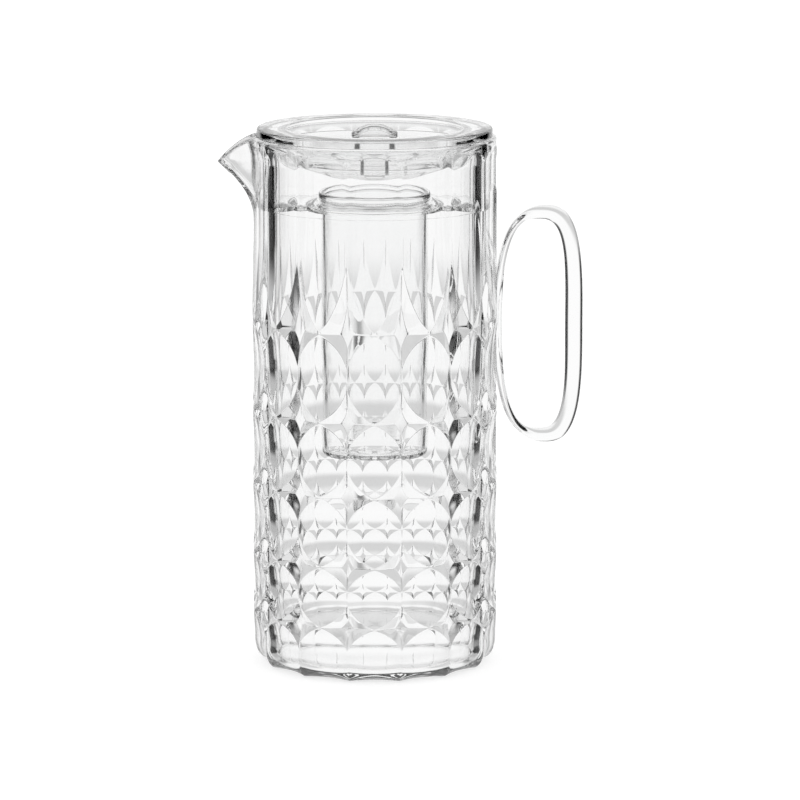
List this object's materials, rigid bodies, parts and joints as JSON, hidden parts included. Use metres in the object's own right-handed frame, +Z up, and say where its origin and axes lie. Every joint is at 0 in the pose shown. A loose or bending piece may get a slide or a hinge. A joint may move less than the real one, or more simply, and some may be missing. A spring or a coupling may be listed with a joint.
{
  "type": "infuser carafe",
  "caption": "Clear plastic carafe with a cut-glass pattern, pouring spout, bonded loop handle, lid with a recessed knob, and a lift-out infuser tube.",
  "frame": {"origin": "middle of the flat underside of the carafe", "axes": "+Z up along the carafe's axis, +X towards the handle, -X towards the spout"},
  "size_m": [0.165, 0.1128, 0.2461],
  "materials": {
    "body_clear": "clear polished acrylic",
    "handle_clear": "clear polished acrylic",
    "lid_clear": "clear polished acrylic",
    "infuser_clear": "clear polished acrylic"
  },
  "bodies": {
    "carafe": {"carafe_body": "body_clear", "handle": "handle_clear"},
    "infuser": {"infuser_collar": "infuser_clear", "infuser_tube": "infuser_clear"},
    "lid": {"lid": "lid_clear", "lid_knob": "lid_clear"}
  },
  "joints": [
    {"name": "infuser_lift", "type": "slide", "parent": "carafe", "child": "infuser", "axis": [0, 0, 1], "range_m": [0, 0.16]},
    {"name": "lid_lift", "type": "slide", "parent": "infuser", "child": "lid", "axis": [0, 0, 1], "range_m": [0, 0.08]}
  ]
}
